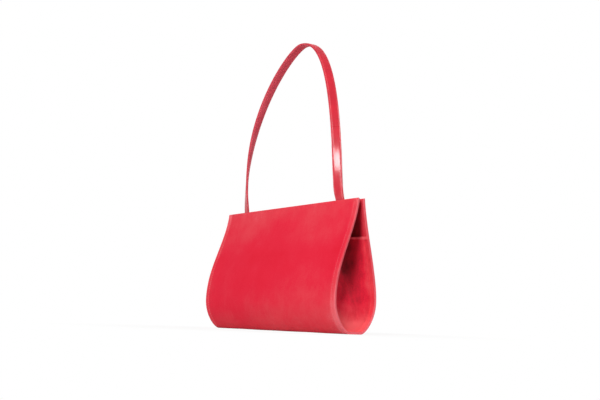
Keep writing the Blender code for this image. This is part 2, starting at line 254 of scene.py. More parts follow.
def arc_at(height):
    """Length along the wall from under the bag to a height on one side."""
    return float(np.interp(height, OUTLINE_HEIGHT[1:], OUTLINE_LENGTH[1:]))


def height_at(arc):
    """Height of the wall at a length from under the bag."""
    return float(np.interp(abs(arc), OUTLINE_LENGTH, OUTLINE_HEIGHT))


def wall(arc, depth):
    """Point of the wall at a length from under the bag, negative up the front, and a depth inwards."""
    side = -1 if arc < 0 else 1
    length = abs(arc)
    step = mouth_arc / curve_samples
    near = max(length - step, 0)
    far = min(length + step, mouth_arc)
    half, height = (float(np.interp(length, OUTLINE_LENGTH, column))
                    for column in (OUTLINE_HALF, OUTLINE_HEIGHT))
    run = [float(np.interp(far, OUTLINE_LENGTH, column) - np.interp(near, OUTLINE_LENGTH, column))
           for column in (OUTLINE_HALF, OUTLINE_HEIGHT)]
    size = math.hypot(*run)
    outward = Vector((run[1], -run[0])) / size
    height_in = height - outward.y * depth
    return Vector((0, side * (half - outward.x * depth) + lean_at(height_in), height_in))


def wall_at(x, arc, depth):
    """Point of the wall at a place along the bag, a length from under it and a depth inwards."""
    point = wall(arc, depth)
    point.x = x
    return point


def wall_normal(arc):
    """Direction out of the wall at a length from under the bag."""
    return (wall(arc, 0) - wall(arc, suede_thickness)).normalized()


# Shader nodes
def linear(hex_text):
    """Linear colour of an sRGB value such as E23F4B."""
    parts = [int(hex_text[i:i + 2], 16) / 255 for i in (0, 2, 4)]
    return [c / 12.92 if c <= 0.04045 else ((c + 0.055) / 1.055) ** 2.4 for c in parts] + [1.0]


def new_material(name, roughness, **sockets):
    """Material with plain values on its shader, and its tree, shader and object coordinates."""
    material = bpy.data.materials.new(name)
    material.use_nodes = True
    tree = material.node_tree
    shader = tree.nodes["Principled BSDF"]
    shader.inputs["Roughness"].default_value = roughness
    for key, value in sockets.items():
        shader.inputs[key.replace("_", " ")].default_value = value
    coords = tree.nodes.new("ShaderNodeTexCoord").outputs["Object"]
    return material, tree, shader, coords


def noise_of(tree, coords, size, detail=3.0, stretch=(1, 1, 1), rough=0.55):
    """Noise whose features have about this size, stretched along the axes."""
    mapping = tree.nodes.new("ShaderNodeMapping")
    mapping.inputs["Scale"].default_value = [s / size for s in stretch]
    tree.links.new(coords, mapping.inputs["Vector"])
    node = tree.nodes.new("ShaderNodeTexNoise")
    node.inputs["Scale"].default_value = 1.0
    node.inputs["Detail"].default_value = detail
    node.inputs["Roughness"].default_value = rough
    tree.links.new(mapping.outputs["Vector"], node.inputs["Vector"])
    return node.outputs["Fac"]


def ramp_of(tree, value, stops):
    """Colours or greys picked by a value; each stop is a place and a colour."""
    node = tree.nodes.new("ShaderNodeValToRGB")
    ramp = node.color_ramp
    while len(ramp.elements) < len(stops):
        ramp.elements.new(0.5)
    for element, (place, colour) in zip(ramp.elements, stops):
        element.position = place
        element.color = linear(colour) if isinstance(colour, str) else (colour, colour, colour, 1)
    tree.links.new(value, node.inputs["Fac"])
    return node.outputs["Color"]


def math_of(tree, operation, *values):
    """Result of one reckoning with sockets and plain numbers."""
    node = tree.nodes.new("ShaderNodeMath")
    node.operation = operation
    for socket, value in zip(node.inputs, values):
        if isinstance(value, (int, float)):
            socket.default_value = value
        else:
            tree.links.new(value, socket)
    return node.outputs[0]


def sum_of(tree, a, b, share):
    """A value plus a share of another."""
    return math_of(tree, "MULTIPLY_ADD", b, share, a)


def range_of(tree, value, reach, results=(0.0, 1.0), kind="LINEAR"):
    """Value carried from one range to another and held at both ends."""
    node = tree.nodes.new("ShaderNodeMapRange")
    node.interpolation_type = kind
    for key, number in zip(("From Min", "From Max", "To Min", "To Max"), (*reach, *results)):
        node.inputs[key].default_value = number
    tree.links.new(value, node.inputs["Value"])
    return node.outputs["Result"]


def axis_of(tree, coords, axis):
    """One coordinate: X, Y or Z."""
    node = tree.nodes.new("ShaderNodeSeparateXYZ")
    tree.links.new(coords, node.inputs[0])
    return node.outputs[axis]


def bumped(tree, shader, value, distance, strength=1.0):
    """Relief on a shader, value 1 standing out by the distance."""
    node = tree.nodes.new("ShaderNodeBump")
    node.inputs["Strength"].default_value = strength
    node.inputs["Distance"].default_value = distance
    tree.links.new(value, node.inputs["Height"])
    tree.links.new(node.outputs["Normal"], shader.inputs["Normal"])


# Materials: sizes and shares of the suede's grain, fibres, streaks and broad shading, and of others' patches
nap_grain = 0.0011
nap_fibre = 0.00042
nap_streak = 0.004
nap_sweep = 0.090
fibre_share = 0.6
streak_share = 0.12
sweep_share = 0.40
nap_height = 0.00024
leather_patch = 0.020
cloth_patch = 0.025
cloth_patch_share = 0.5
thread_height = 0.00012
wave_band = 0.31  # the wave texture repeats about this far apart at scale 1


def suede(name, shades, wear_and_shade, patch_size, patch_share, grain_share=0.36):
    """Brushed suede: broad shading of the nap, patches, a fibrous grain and paler bands along the axes.

    Shades are places and colours. Each band gives an axis, a reach along it, and places with the share by
    which the suede is paler: on the panels wear at the ends and paler suede towards top and bottom, on the
    gussets, bindings and facings painted shade and painted light.
    """
    material, tree, shader, coords = new_material(name, roughness=0.96, Specular_IOR_Level=0.18,
                                                  Sheen_Weight=0.12, Sheen_Roughness=0.45,
                                                  Sheen_Tint=(1.0, 0.45, 0.48, 1.0))
    grain = noise_of(tree, coords, nap_grain, detail=4.0, rough=0.65)
    shade = ramp_of(tree, grain, [(0.0, 0.0), (1.0, grain_share)])
    shade = sum_of(tree, shade, noise_of(tree, coords, nap_streak, stretch=(1, 1, 0.3)), streak_share)
    shade = sum_of(tree, shade, noise_of(tree, coords, patch_size, detail=4.0), patch_share)
    shade = sum_of(tree, shade, noise_of(tree, coords, nap_sweep, detail=1.0), sweep_share)
    for axis, reach, stops in wear_and_shade:
        size = math_of(tree, "ABSOLUTE", axis_of(tree, coords, axis))
        shade = sum_of(tree, shade, ramp_of(tree, range_of(tree, size, reach), stops), 1.0)
    tree.links.new(ramp_of(tree, shade, shades), shader.inputs["Base Color"])
    fibre = noise_of(tree, coords, nap_fibre, detail=2.0)
    bumped(tree, shader, sum_of(tree, grain, fibre, fibre_share), nap_height, strength=0.6)
    return material


def fine_grained(name, low, high, roughness, pore, relief, strength=0.6, worn_dull=None, **sockets):
    """Finish with fine pores and a slight change of colour.

    Where it is worn dull, worn_dull gives two heights and the roughness above them.
    """
    material, tree, shader, coords = new_material(name, roughness, **sockets)
    if worn_dull:
        low_height, high_height, dull = worn_dull
        worn = range_of(tree, axis_of(tree, coords, "Z"), (low_height, high_height), (roughness, dull))
        tree.links.new(worn, shader.inputs["Roughness"])
    colour = ramp_of(tree, noise_of(tree, coords, leather_patch), [(0.30, low), (0.70, high)])
    tree.links.new(colour, shader.inputs["Base Color"])
    bumped(tree, shader, noise_of(tree, coords, pore), relief, strength)
    return material


def woven(name, low, high, thread_size):
    """Plain woven cloth: two sets of threads crossing."""
    material, tree, shader, coords = new_material(name, roughness=0.88, Specular_IOR_Level=0.25,
                                                  Sheen_Weight=0.15)
    waves = []
    for turn in ((0, 0, 0), (0, math.pi / 2, 0)):
        mapping = tree.nodes.new("ShaderNodeMapping")
        mapping.inputs["Rotation"].default_value = turn
        tree.links.new(coords, mapping.inputs["Vector"])
        wave = tree.nodes.new("ShaderNodeTexWave")
        wave.inputs["Scale"].default_value = wave_band / thread_size
        wave.inputs["Distortion"].default_value = 0.6
        wave.inputs["Detail"].default_value = 1.0
        tree.links.new(mapping.outputs["Vector"], wave.inputs["Vector"])
        waves.append(wave.outputs["Fac"])
    threads = math_of(tree, "MULTIPLY", *waves)
    shade = sum_of(tree, threads, noise_of(tree, coords, cloth_patch), cloth_patch_share)
    tree.links.new(ramp_of(tree, shade, [(0.15, low), (0.75, high)]), shader.inputs["Base Color"])
    bumped(tree, shader, threads, thread_height, strength=0.8)
    return material


HEIGHT_REACH = (0.0, bag_height)
PANEL_END_REACH = (half_width - 0.010, half_width)
FACING_END_REACH = (half_width - 0.025, half_width)
WEB_REACH = (half_width - end_seam_inset - gusset_crease_depth, half_width - end_seam_inset)
# The panels are paler towards the top and the bottom and deepest in tone at mid height
PANEL_HEIGHT_PALING = ("Z", HEIGHT_REACH, [(0.0, 0.17), (0.30, 0.10), (0.6, 0.0), (1.0, 0.25)])
PANEL_END_WEAR = ("X", PANEL_END_REACH, [(0.0, 0.0), (0.35, 0.11), (0.8, 0.15), (1.0, 0.33)])
# Painted shade: the facings are dark inside the mouth and paler over the last 25 mm towards each end, where
# light reaches in
FACING_DEPTH_SHADE = ("X", FACING_END_REACH, [(0.0, 0.0), (0.5, 0.04), (0.75, 0.22), (1.0, 0.34)])
# Painted shade and light: the gusset web is darkest deep in its crease, where the front wall's shadow falls,
# and paler towards its seam, where light falls
WEB_DEPTH_SHADE = ("X", WEB_REACH, [(0.0, 0.0), (0.30, 0.02), (0.55, 0.13), (0.80, 0.16), (1.0, 0.23)])
# Painted shade: the web is darkest just above its bottom, where the front wall's shadow falls, and paler at
# its bottom lip and higher up
WEB_HEIGHT_SHADE = ("Z", HEIGHT_REACH, [(0.0, 0.32), (0.06, 0.26), (0.10, 0.10), (0.14, 0.03), (0.18, 0.0),
                                       (0.26, 0.0), (0.38, 0.10)])
SUEDE = suede("red_suede", [(0.42, "DC122E"), (0.62, "E0213B"), (0.82, "E2424E"), (1.0, "EE6C74")],
              [PANEL_HEIGHT_PALING, PANEL_END_WEAR], patch_size=0.020, patch_share=0.23)
SUEDE_EDGE = suede("red_suede_cut_edge", [(0.42, "E04656"), (0.82, "EE6E78")],
                   [PANEL_HEIGHT_PALING], patch_size=0.004, patch_share=0.33)
# The facing suede's dark colour is painted shade inside the mouth
SHADED_FACING_SUEDE = suede("red_facing_suede_painted_shade", [(0.42, "8A1421"), (0.62, "D01C34"), (0.82, "E6545E")],
                     [FACING_DEPTH_SHADE], patch_size=0.020, patch_share=0.12)
# The gusset suede's darkest colour is painted shade for its deep crease
SHADED_GUSSET_SUEDE = suede("red_gusset_suede_painted_shade", [(0.43, "6C151E"), (0.63, "DA1E38"), (0.85, "EE5C62")],
                     [WEB_DEPTH_SHADE, WEB_HEIGHT_SHADE], patch_size=0.011, patch_share=0.12, grain_share=0.18)
# The binding's dark colour and its bands are painted shade deep in the crease and painted light towards the
# seam
SHADED_BINDING_SUEDE = suede("red_binding_suede_painted_shade", [(0.52, "741820"), (0.68, "DA2C42"), (0.80, "EA5A64")],
                      [WEB_DEPTH_SHADE, WEB_HEIGHT_SHADE], patch_size=0.006, patch_share=0.23)
STRAP_LEATHER = fine_grained("glossy_red_leather", "BE0C28", "D0182F", roughness=0.19, pore=0.0009,
                             relief=0.00002, strength=0.22, worn_dull=(0.225, 0.310, 0.50),
                             Specular_IOR_Level=0.48)
STRAP_BACKING = fine_grained("matte_red_leather", "CA3C4C", "D44E5C", roughness=0.72, pore=0.0007,
                             relief=0.00004, Specular_IOR_Level=0.3)
THREAD = fine_grained("red_thread", "DF4C5A", "F07C86", roughness=0.55, pore=0.0003, relief=0.00005,
                      Specular_IOR_Level=0.4)
LINING = woven("dark_red_lining", "861A28", "B0303C", thread_size=0.0004)
BOARD = fine_grained("grey_brown_board", "6F604F", "87776A", roughness=0.9, pore=0.0015, relief=0.00008,
                     Specular_IOR_Level=0.2)
SNAP_METAL = fine_grained("pale_plated_metal", "BCA77C", "CDBB92", roughness=0.24, pore=0.004,
                          relief=0.00001, Metallic=1.0)


# Building
def faced_out(bm, toward):
    """Turns all faces round if they look away from the direction that toward gives for their middles."""
    bm.normal_update()
    facing_out = sum(face.normal.dot(toward(face.calc_center_median())) * face.calc_area()
                     for face in bm.faces)
    if facing_out < 0:
        bmesh.ops.reverse_faces(bm, faces=bm.faces)


def sheet_grid(us, vs, place):
    """Grid whose corners lie where place puts each pair of values."""
    bm = bmesh.new()
    bmesh.ops.create_grid(bm, x_segments=len(us) - 1, y_segments=len(vs) - 1, size=1)
    for vertex in bm.verts:
        u = us[round((vertex.co.x + 1) / 2 * (len(us) - 1))]
        v = vs[round((vertex.co.y + 1) / 2 * (len(vs) - 1))]
        vertex.co = place(u, v)
    return bm


def new_piece(name, bm, materials, modifiers=()):
    """Piece of the bag from a bmesh, smooth, with its modifiers applied."""
    mesh = bpy.data.meshes.new(name)
    bm.to_mesh(mesh)
    bm.free()
    piece = bpy.data.objects.new(name, mesh)
    bpy.context.scene.collection.objects.link(piece)
    for material in materials:
        mesh.materials.append(material)
    for kind, settings in modifiers:
        modifier = piece.modifiers.new(kind.title(), kind)
        for key, value in settings.items():
            setattr(modifier, key, value)
    if modifiers:
        graph = bpy.context.evaluated_depsgraph_get()
        applied = bpy.data.meshes.new_from_object(piece.evaluated_get(graph), depsgraph=graph)
        piece.modifiers.clear()
        piece.data = applied
        applied.name = name
        bpy.data.meshes.remove(mesh)
    piece.data.shade_smooth()
    return piece


def thick(thickness, offset=-1.0, rim=0):
    """Solidify settings with an even thickness; rim counts materials on for the cut edge."""
    return ("SOLIDIFY", {"thickness": thickness, "offset": offset, "use_even_offset": True,
                         "material_offset_rim": rim})


def rounded(width, segments=3, angle=50):
    """Bevel settings for edges that turn by more than the angle."""
    return ("BEVEL", {"width": width, "segments": segments, "limit_method": "ANGLE",
                      "angle_limit": math.radians(angle)})


def sew(name, rows, body_call):
    """Stitches as one piece: each row is a list of point, direction along the row and direction out."""
    bm = bmesh.new()
    size = Matrix.Diagonal((stitch_length / 2, stitch_radius * stitch_flatness, stitch_radius, 1))
    poles_along = Matrix.Rotation(math.pi / 2, 4, "Y")
    for row in rows:
        for point, along, out in row:
            across = along.cross(out).normalized()
            tilted = (along + across * stitch_tilt).normalized()
            side = tilted.cross(out).normalized()
            turn = Matrix((tilted, side, out)).transposed().to_4x4()
            bmesh.ops.create_uvsphere(bm, u_segments=6, v_segments=6, radius=1,
                                      matrix=Matrix.Translation(point) @ turn @ size @ poles_along)
    piece = new_piece(name, bm, [THREAD])
    body_call(piece)
    return piece


def steps_between(low, high, step):
    """Even values from low to high, about a step apart."""
    count = max(1, round((high - low) / step))
    return [low + (high - low) * i / count for i in range(count + 1)]


def running_lengths(points):
    """Length along a path up to each of its points."""
    return np.concatenate([[0], np.cumsum([(b - a).length for a, b in zip(points, points[1:])])])


def value_along(rows, lengths, length):
    """Point or direction at a length along a path that has a row of three values for each length."""
    return Vector([float(np.interp(length, lengths, rows[:, i])) for i in range(3)])


def bend_with_mouth(low, high):
    """Call that bakes a piece's place into its mesh; its fold measures, low and high, are not used."""
    def call(piece):
        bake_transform(piece)
    return call


def bend_with_strap(piece):
    """Bakes a piece's place into its mesh."""
    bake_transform(piece)


def ride_on(body):
    """Call that makes a piece ride on a body."""
    return lambda piece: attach(piece, body)


def unevenness(point, size, seed):
    """Smooth unevenness from about -1 to 1 with features of a size."""
    return noise.noise(point / size + Vector((seed, seed * 1.7, seed * 0.6)))


def dip(distance):
    """Depth of the hollow that a row of stitches pulls, by the distance from it."""
    return seam_dip * math.exp(-(distance / seam_dip_reach) ** 2)


def out_of_section(centre):
    """Direction out of the bag's section."""
    return Vector((0, centre.y - lean_at(centre.z), centre.z - belly_height))


# Outer suede
def end_fine_stations(half):
    """Stations along the bag, close together near both ends."""
    end = steps_between(half - end_fine_reach, half, end_fine_step)
    middle = steps_between(-end[0], end[0], wide_step)
    return [-x for x in reversed(end)] + middle[1:-1] + end


def pull_at_seam(x, arc):
    """Depth that the end seams pull the suede in, with a little more at each stitch hole."""
    distance = abs(abs(x) - (half_width - seam_inset))
    hole = 0.5 - 0.5 * math.cos(2 * math.pi * arc / stitch_pitch)
    return dip(distance) * (1 - seam_hole_share + seam_hole_share * hole)


def end_seam(sign, end):
    """Row of stitches that holds a gusset, along one end of the outer suede."""
    row = []
    for arc in steps_between(-mouth_arc + seam_from_mouth, mouth_arc - seam_from_mouth, stitch_pitch):
        along = (wall(arc + seam_direction_step, 0) - wall(arc - seam_direction_step, 0)).normalized()
        row.append((wall_at(sign * (half_width - seam_inset), arc, stitch_sunk), along, wall_normal(arc)))
    return sew(end + "_end_stitches", [row], bend_with_mouth(*panel_bend))


def outer_suede():
    """One piece of suede from the front of the mouth, under the bag and up the back."""

    def place(x, arc):
        off_end = smooth_share((half_width - abs(x)) / panel_even_end)
        off_mouth = smooth_share((mouth_arc - abs(arc)) / panel_even_mouth)
        uneven = unevenness(wall_at(x, arc, 0), panel_wave_size, panel_wave_seed)
        depth = pull_at_seam(x, arc) + panel_wave * uneven * off_end * off_mouth
        least = 0.0 if height_at(arc) > base_high else -base_sag
        point = wall_at(x, arc, max(depth, least))
        point.z = max(point.z, 0)
        return point

    bm = sheet_grid(end_fine_stations(half_width), steps_between(-mouth_arc, mouth_arc, fine_step), place)
    faced_out(bm, out_of_section)
    piece = new_piece("outer_suede", bm, [SUEDE, SUEDE_EDGE],
                      [thick(suede_thickness, rim=1), rounded(edge_round)])
    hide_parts("front_panel", "back_and_base")
    bend_with_mouth(*panel_bend)(piece)
    seams = [end_seam(sign, end) for sign, end in ENDS]


# Facings
def facing(name, side, low, high, half):
    """Suede band along the inside of the mouth."""

    def place(x, arc):
        distance = min(abs(arc - (low + facing_seam_rise)), abs(abs(x) - (half_width - seam_inset)))
        return wall_at(x, side * arc, suede_thickness - dip(distance) * facing_dip_share)

    bm = sheet_grid(end_fine_stations(half), steps_between(low, high, fine_step), place)
    faced_out(bm, lambda centre: Vector((0, side, 0)))
    piece = new_piece(name, bm, [SHADED_FACING_SUEDE, SUEDE_EDGE],
                      [thick(facing_thickness, rim=1), rounded(edge_round)])
    return piece


def row_along_bag(side, arc, depth, half):
    """Row of stitches along the bag on the wall's inner side."""
    out = -wall_normal(side * arc)
    count = math.floor(2 * half / stitch_pitch)
    return [(wall_at(-half + (i + 0.5) * stitch_pitch, side * arc, depth), Vector((1, 0, 0)), out)
            for i in range(count)]


def facings():
    """Both facings with the stitches along their lower edges."""
    low, high = arc_at(facing_low_height), mouth_arc - facing_end_inset
    half = half_width - facing_end_inset
    stitch_depth = suede_thickness + facing_thickness - facing_stitch_sunk
    for name, side, body in (("front_facing_suede", -1, "front"), ("back_facing_suede", 1, "bag")):
        piece = facing(name, side, low, high, half)
        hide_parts(name.replace("_suede", ""))
        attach(piece, body)
        rows = [row_along_bag(side, low + facing_seam_rise, stitch_depth, half_width - facing_seam_end)]
        stitches = sew(name + "_stitches", rows, ride_on(body))


# Gussets
def web_point(arc, share):
    """Point of the right gusset's web, from the wall at share 0 to the crease at share 1."""
    on_wall = wall(arc, flange_depth)
    climb = (on_wall.z - flange_depth) / (gusset_top_height - flange_depth)
    spine_height = gusset_spine_foot + (gusset_top_height - gusset_spine_foot) * climb
    spine = Vector((0, lean_at(spine_height), spine_height))
    point = on_wall.lerp(spine, share)
    fold = smooth_share((spine_height - crease_low_height) / (crease_full_height - crease_low_height))
    depth = gusset_bowl_depth + (gusset_crease_depth - gusset_bowl_depth) * fold
    bowl = 1 - (1 - share) ** bowl_power
    crease = share ** crease_power
    point.x = half_width - end_seam_inset - depth * (bowl * (1 - fold) + crease * fold)
    return point


GUSSET_COLUMNS = ([("flange", share) for share in steps_between(0, 0.84, 0.14)] +
                  [("corner", share) for share in steps_between(0, 1, 0.2)] +
                  [("web", share) for share in steps_between(web_from, 1, 0.07)])


def gusset_point(sign, arc, column, proud=0.0):
    """Point of a gusset's visible face: flange on the wall, small corner, then soft web to its crease."""
    seam_x = half_width - end_seam_inset
    flange_x = half_width - gusset_flange_inset
    kind, share = column
    if kind == "flange":
        x = flange_x + (seam_x + gusset_corner_radius - flange_x) * share
        pulled = dip(abs(x - (half_width - seam_inset))) * flange_dip_share
        point = wall_at(x, arc, flange_depth + proud - pulled)
    elif kind == "corner":
        turn = share * math.pi / 2
        edge = wall(arc, flange_depth + proud * math.cos(turn))
        toward = web_point(arc, web_from) - edge
        toward.x = 0
        toward.normalize()
        point = edge + toward * gusset_corner_radius * (1 - math.cos(turn))
        point.x = seam_x + gusset_corner_radius * (1 - math.sin(turn)) + proud * math.sin(turn)
    else:
        point = web_point(arc, share)
        soft = smooth_share((share - web_from) / web_soft_reach)
        point.x += proud + soft * sum(height * unevenness(point, size, seed + sign)
                                      for height, size, seed in web_creases)
    point.x *= sign
    return point


def gusset(sign, end):
    """Soft end piece of the bag, sewn to the wall all round and open at its top edge."""
    top_arc = arc_at(gusset_top_height)
    bm = sheet_grid(steps_between(-top_arc, top_arc, fine_step), GUSSET_COLUMNS,
                    lambda arc, column: gusset_point(sign, arc, column))
    bmesh.ops.remove_doubles(bm, verts=bm.verts, dist=weld_distance)
    faced_out(bm, lambda centre: Vector((sign, 0, 0)))
    piece = new_piece(end + "_gusset_suede", bm, [SHADED_GUSSET_SUEDE, SUEDE_EDGE],
                      [thick(gusset_thickness + layer_gap, rim=1), rounded(edge_round)])
    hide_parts(end + "_gusset")
    bend_with_mouth(*gusset_bend)(piece)


def gusset_binding(sign, end):
    """Rolled strip along the whole top edge of a gusset, folded with it, and its stitches."""
    proud = (binding_thickness - gusset_thickness - layer_gap) / 2
    path = [(-1, column) for column in GUSSET_COLUMNS[1:]]
    path += [(1, column) for column in reversed(GUSSET_COLUMNS[1:-1])]

    def place(step, rise):
        side, column = step
        arc = side * arc_at(gusset_top_height - binding_overlap + binding_height * rise)
        return gusset_point(sign, arc, column, proud)

    bm = sheet_grid(path, [0, 0.5, 1], place)
    bmesh.ops.remove_doubles(bm, verts=bm.verts, dist=weld_distance)
    faced_out(bm, lambda centre: Vector((sign, 0, 0)))
    piece = new_piece(end + "_gusset_binding_suede", bm, [SHADED_BINDING_SUEDE],
                      [thick(binding_thickness), rounded(binding_round, 4)])
    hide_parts(end + "_gusset_binding")
    bend_with_mouth(*gusset_bend)(piece)

    points = [place(step, binding_seam_share) for step in path]
    lengths = running_lengths(points)
    rows = np.array(points)
    row = []
    for length in steps_between(binding_seam_end, lengths[-1] - binding_seam_end, stitch_pitch):
        before, here, after = (value_along(rows, lengths, length + step)
                               for step in (-binding_direction_step, 0, binding_direction_step))
        along = (after - before).normalized()
        out = along.cross(Vector((0, 0, 1))).normalized()
        out = out if out.x * sign > 0 else -out
        row.append((here + out * binding_stitch_proud, along, out))
    sew(end + "_gusset_binding_stitches", [row], bend_with_mouth(*gusset_bend))


# Linings and pocket
def linings():
    """Cloth lining in one piece, from facing to facing."""
    depth = suede_thickness + board_thickness + 2 * layer_gap
    top = arc_at(facing_low_height) + lining_tuck
    half = half_width - lining_end_inset

    def place(x, arc):
        slack = smooth_share((top - abs(arc)) / slack_reach) * smooth_share((half - abs(x)) / slack_reach)
        wave = max(0.0, unevenness(wall_at(x, arc, depth), lining_wave_size, lining_wave_seed))
        return wall_at(x, arc, depth + slack * lining_slack * wave)

    bm = sheet_grid(steps_between(-half, half, wide_step), steps_between(-top, top, cloth_step), place)
    faced_out(bm, out_of_section)
    piece = new_piece("lining_cloth", bm, [LINING], [thick(lining_thickness)])
    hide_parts("front_lining", "back_lining")
    bend_with_mouth(*lining_bend)(piece)


def inner_pocket():
    """Slip pocket on the back lining, sewn on three sides, with a hem along its top."""
    depth = suede_thickness + board_thickness + lining_thickness + 3 * layer_gap
    low, high = arc_at(pocket_low_height), arc_at(pocket_high_height)

    def place(x, arc):
        off_foot = smooth_share((arc - low) / slack_reach)
        off_side = smooth_share((pocket_half_width - abs(x)) / slack_reach)
        hem = pocket_hem_thickness if high - arc < pocket_hem_height else 0.0
        return wall_at(x, arc, depth + off_foot * off_side * pocket_slack - hem)

    bm = sheet_grid(steps_between(-pocket_half_width, pocket_half_width, cloth_step),
                    steps_between(low, high, pocket_row_step), place)
    faced_out(bm, out_of_section)
    piece = new_piece("inner_pocket_cloth", bm, [LINING], [thick(pocket_thickness), rounded(pocket_round, 2)])
    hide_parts("inner_pocket")
    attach(piece, "bag")


# Strap
def arch_point(share):
    """Middle of the strap from the left foot at share 0, over the crown at 0.5, to the right foot at 1."""
    crown = strap_crown_point
    if share <= 0.5:
        foot_x, flare, handle, run = left_foot_x, left_flare, -left_crown_handle, share * 2
    else:
        foot_x, flare, handle, run = right_foot_x, right_flare, right_crown_handle, (1 - share) * 2
    foot = Vector((foot_x, strap_foot_height))
    flat = bezier(foot, foot + flare, crown + Vector((handle, 0)), crown, run)
    back = strap_back_lean * (flat.y - strap_foot_height) / (crown.y - strap_foot_height)
    return Vector((flat.x, strap_foot_y + back, flat.y))


def turn_at(share, rise, fall):
    """Degrees by which the strap is turned: over the arch by share, in the mouth by how far it is out."""
    if share < 0:
        return strap_turns[0][1] * smooth_share(rise)
    if share > 1:
        return 180 - (180 - strap_turns[-1][1]) * smooth_share(fall)
    places, turns = zip(*strap_turns)
    slopes = np.gradient(turns, places)
    i = min(max(int(np.searchsorted(places, share)) - 1, 0), len(places) - 2)
    span = places[i + 1] - places[i]
    s = (share - places[i]) / span
    return ((1 + 2 * s) * (1 - s) ** 2 * turns[i] + s * (1 - s) ** 2 * span * slopes[i] +
            s * s * (3 - 2 * s) * turns[i + 1] + s * s * (s - 1) * span * slopes[i + 1])


def eased_feet(stations, total):
    """Stations of the strap with the bends at its two feet smoothed."""
    for _ in range(foot_smooth_rounds):
        smoothed = [stations[0]]
        for (_, before), (length, here), (_, after) in zip(stations, stations[1:], stations[2:]):
            if min(length, total - length) < foot_smooth_reach:
                here = here * (1 - 2 * foot_smooth_weight) + (before + after) * foot_smooth_weight
            smoothed.append((length, here))
        stations = smoothed + [stations[-1]]
    return stations


def strap_line():
    """Even points of the whole strap with their width and outward directions, foot distance and length."""
    depth = suede_thickness + facing_thickness + tail_depth_gap
    tail_arcs = steps_between(arc_at(strap_end_low_height), mouth_arc - tail_top_gap, tail_step)
    left_tail, right_tail = ([wall_at(sign * strap_end_x[sign], arc, depth) for arc in tail_arcs]
                             for sign in (-1, 1))
    arch = [arch_point(i / (2 * curve_samples)) for i in range(2 * curve_samples + 1)]
    route = left_tail + arch + right_tail[::-1]
    lengths = running_lengths(route)
    arch_low = float(lengths[len(left_tail)])
    arch_high = float(lengths[len(left_tail) + len(arch) - 1])
    total = lengths[-1]
    rows = np.array(route)
    stations = eased_feet([(length, value_along(rows, lengths, length))
                           for length in steps_between(0, total, strap_step)], total)
    line = []
    for i, (length, at) in enumerate(stations):
        before = stations[max(i - 1, 0)][1]
        after = stations[min(i + 1, len(stations) - 1)][1]
        tangent = (after - before).normalized()
        foot_distance = max(0.0, min(length - arch_low, arch_high - length))
        turn = math.radians(turn_at((length - arch_low) / (arch_high - arch_low), length / arch_low,
                                    (total - length) / (total - arch_high)))
        across = Vector((math.cos(turn), -math.sin(turn), 0))
        across = (across - tangent * across.dot(tangent)).normalized()
        outward = across.cross(tangent).normalized()
        line.append((at, across, outward, foot_distance, length))
    return line


STRAP_LINE = strap_line()
HALF_SHARES = [0.25, 0.45, 0.55, 0.62, 0.67, 0.71, 0.735, stitch_side, 0.785, 0.82, 0.88, 0.94, 0.985, 1.0]
COLUMN_SHARES = [-share for share in reversed(HALF_SHARES)] + [0.0] + HALF_SHARES


def padding_swell(foot_distance):
    """Share of the strap's padding, none at its skived feet."""
    return smooth_share(foot_distance / strap_skive_length - 1)


def corner_fall(share, depth):
    """How far a strap leather's face falls off at its edges."""
    past = max(0.0, (abs(share) - corner_from) / corner_run)
    return depth * (1 - math.sqrt(max(0.0, 1 - past ** 2)))


def stitch_groove(share, depth):
    """How far a strap leather's face sinks along its rows of stitches."""
    return depth * math.exp(-((abs(share) - stitch_side) / groove_reach) ** 2)


def outer_height(share, kind, foot_distance):
    """Height of the outer leather's two sides above the strap's middle."""
    half_gap = layer_gap / 2
    if kind == "back":
        return half_gap - back_overlap
    dome = max(0.0, 1 - (share / stitch_side) ** dome_power)
    swell = skived_crown_share + (1 - skived_crown_share) * padding_swell(foot_distance)
    face = half_gap + strap_leather_thickness + strap_crown * swell * dome
    return face - corner_fall(share, outer_corner) - stitch_groove(share, outer_groove)


def inner_height(share, kind, foot_distance):
    """Height of the inner leather's two sides, below the strap's middle."""
    half_gap = layer_gap / 2
    if kind == "back":
        return -half_gap + back_overlap
    crown = strap_inner_crown * padding_swell(foot_distance) * (1 - share ** 2)
    face = -half_gap - strap_leather_thickness - crown
    return face + corner_fall(share, inner_corner) + stitch_groove(share, inner_groove)


def strap_layer(name, material, height_of, nodes):
    """One leather of the strap: a closed ring of points carried along the strap's line."""
    ring = [(share, "face") for share in COLUMN_SHARES]
    ring += [(share, "back") for share in reversed(COLUMN_SHARES)]

    def place(index, spot):
        at, across, outward, foot_distance, _ = STRAP_LINE[index]
        share, kind = spot
        height = height_of(share, kind, foot_distance)
        narrowing = back_narrowing if kind == "back" else 1.0
        return at + across * share * strap_width / 2 * narrowing + outward * height

    bm = sheet_grid(list(range(len(STRAP_LINE))), ring + [ring[0]], place)
    bmesh.ops.remove_doubles(bm, verts=bm.verts, dist=strap_weld_distance)
    bmesh.ops.holes_fill(bm, edges=[e for e in bm.edges if e.is_boundary], sides=0)
    bmesh.ops.recalc_face_normals(bm, faces=bm.faces)
    piece = new_piece(name, bm, [material])
    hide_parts(*nodes)
    bend_with_strap(piece)


